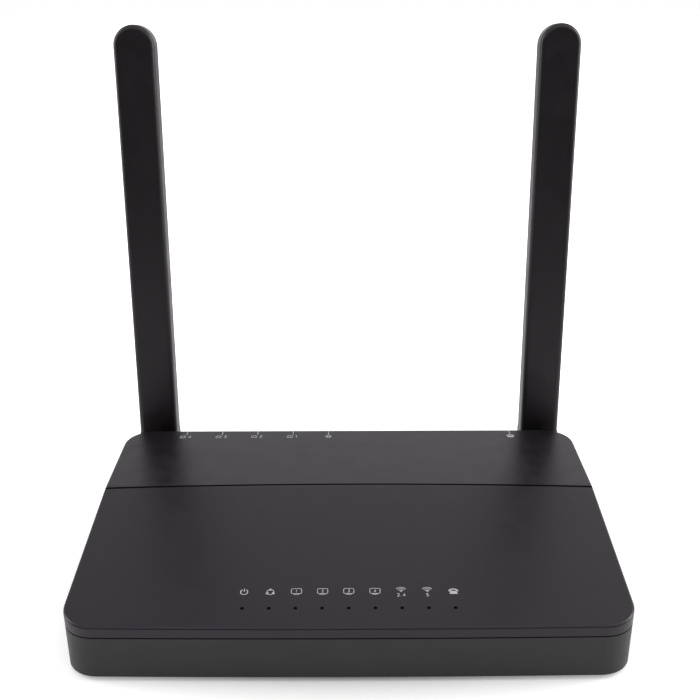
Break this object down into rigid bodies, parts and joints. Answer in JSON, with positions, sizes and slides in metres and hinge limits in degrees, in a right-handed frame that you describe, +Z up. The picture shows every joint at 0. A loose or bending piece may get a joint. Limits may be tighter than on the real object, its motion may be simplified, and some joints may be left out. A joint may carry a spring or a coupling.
{
  "type": "optical network terminal",
  "caption": "Low wedge-topped black desktop optical network terminal with folding, swivelling paddle antennas, status lamps and rear sockets.",
  "frame": {"origin": "on the table, under the centre of the case's plan outline", "axes": "+X to the right facing the front, +Y to the rear with the sockets and antennas, +Z up"},
  "size_m": [0.187, 0.1505, 0.1932],
  "materials": {
    "cover_plastic": "fine-textured satin black",
    "case_plastic": "fine-textured satin black",
    "antenna_plastic": "satin black",
    "button_plastic": "satin dark grey",
    "foot_rubber": "matt black",
    "label_film": "satin blank film",
    "zinc_steel": "zinc plated",
    "tinned_steel": "tin plated",
    "board_laminate": "green solder mask",
    "chip_epoxy": "matt moulded epoxy",
    "pad_silicone": "soft matt",
    "sink_aluminium": "clear anodised",
    "socket_plastic": "moulded black",
    "lan_socket_plastic": "moulded black",
    "phone_socket_plastic": "moulded grey",
    "fibre_green_plastic": "moulded green",
    "capacitor_can": "sleeved can",
    "ferrite": "ground ferrite",
    "led_lens": "clear epoxy",
    "light_guide_acrylic": "clear polished",
    "zirconia": "polished",
    "contact_metal": "nickel plated",
    "contact_gold": "gold plated",
    "element_laminate": "copper on laminate",
    "lead_jacket": "smooth fluoropolymer"
  },
  "bodies": {
    "case": {"blank_label": "label_film", "board_screws": "zinc_steel", "bottom_case": "case_plastic", "capacitors": "capacitor_can", "case_screws": "zinc_steel", "coax_connectors": "contact_gold", "crystals": "tinned_steel", "ferrule_sleeve": "zirconia", "fibre_socket": "fibre_green_plastic", "flash_chip": "chip_epoxy", "heat_sink": "sink_aluminium", "lan1_socket": "lan_socket_plastic", "lan1_socket_contacts": "contact_gold", "lan2_socket": "lan_socket_plastic", "lan2_socket_contacts": "contact_gold", "lan3_socket": "lan_socket_plastic", "lan3_socket_contacts": "contact_gold", "lan4_socket": "lan_socket_plastic", "lan4_socket_contacts": "contact_gold", "lan_transformers": "socket_plastic", "left_antenna_lead": "lead_jacket", "light_guide": "light_guide_acrylic", "main_board": "board_laminate", "main_processor": "chip_epoxy", "memory_chip": "chip_epoxy", "optical_module": "tinned_steel", "phone_line_chip": "chip_epoxy", "phone_socket": "phone_socket_plastic", "phone_socket_contacts": "contact_gold", "power_inductors": "ferrite", "power_inlet": "socket_plastic", "power_pin": "contact_metal", "power_switch": "socket_plastic", "rear_panel": "case_plastic", "reset_switch": "socket_plastic", "right_antenna_lead": "lead_jacket", "rubber_feet": "foot_rubber", "shield_can_2g": "tinned_steel", "shield_can_5g": "tinned_steel", "status_leds": "led_lens", "thermal_pad": "pad_silicone", "top_cover": "cover_plastic", "wifi_chip_2g": "chip_epoxy", "wifi_chip_5g": "chip_epoxy", "wps_switch": "socket_plastic"},
    "left_swivel": {"left_antenna_hub": "antenna_plastic", "left_antenna_retainer": "zinc_steel"},
    "left_arm": {"left_antenna_fork": "antenna_plastic", "left_elbow_pin": "zinc_steel", "left_antenna_paddle": "antenna_plastic", "left_antenna_element": "element_laminate"},
    "right_swivel": {"right_antenna_hub": "antenna_plastic", "right_antenna_retainer": "zinc_steel"},
    "right_arm": {"right_antenna_fork": "antenna_plastic", "right_elbow_pin": "zinc_steel", "right_antenna_paddle": "antenna_plastic", "right_antenna_element": "element_laminate"},
    "power_key": {"power_button": "button_plastic"},
    "wps_key": {"wps_button": "button_plastic"},
    "reset_key": {"reset_plunger": "button_plastic"}
  },
  "joints": [
    {"name": "left_antenna_swivel", "type": "hinge", "parent": "case", "child": "left_swivel", "pos_m": [-0.0825, 0.061, 0.0163], "axis": [0, 1, 0], "range_deg": [-90, 45]},
    {"name": "left_antenna_tilt", "type": "hinge", "parent": "left_swivel", "child": "left_arm", "pos_m": [-0.0825, 0.069, 0.0163], "axis": [1, 0, 0], "range_deg": [-84.5, 5.5]},
    {"name": "right_antenna_swivel", "type": "hinge", "parent": "case", "child": "right_swivel", "pos_m": [0.0825, 0.061, 0.0163], "axis": [0, 1, 0], "range_deg": [-45, 90]},
    {"name": "right_antenna_tilt", "type": "hinge", "parent": "right_swivel", "child": "right_arm", "pos_m": [0.0825, 0.069, 0.0163], "axis": [1, 0, 0], "range_deg": [-84.5, 5.5]},
    {"name": "power_button_press", "type": "slide", "parent": "case", "child": "power_key", "axis": [0, -1, 0], "range_m": [0, 0.002], "stiffness_N_per_m": 300},
    {"name": "wps_button_press", "type": "slide", "parent": "case", "child": "wps_key", "axis": [0, -1, 0], "range_m": [0, 0.0005], "stiffness_N_per_m": 500},
    {"name": "reset_press", "type": "slide", "parent": "case", "child": "reset_key", "axis": [0, -1, 0], "range_m": [0, 0.0003], "stiffness_N_per_m": 500}
  ]
}
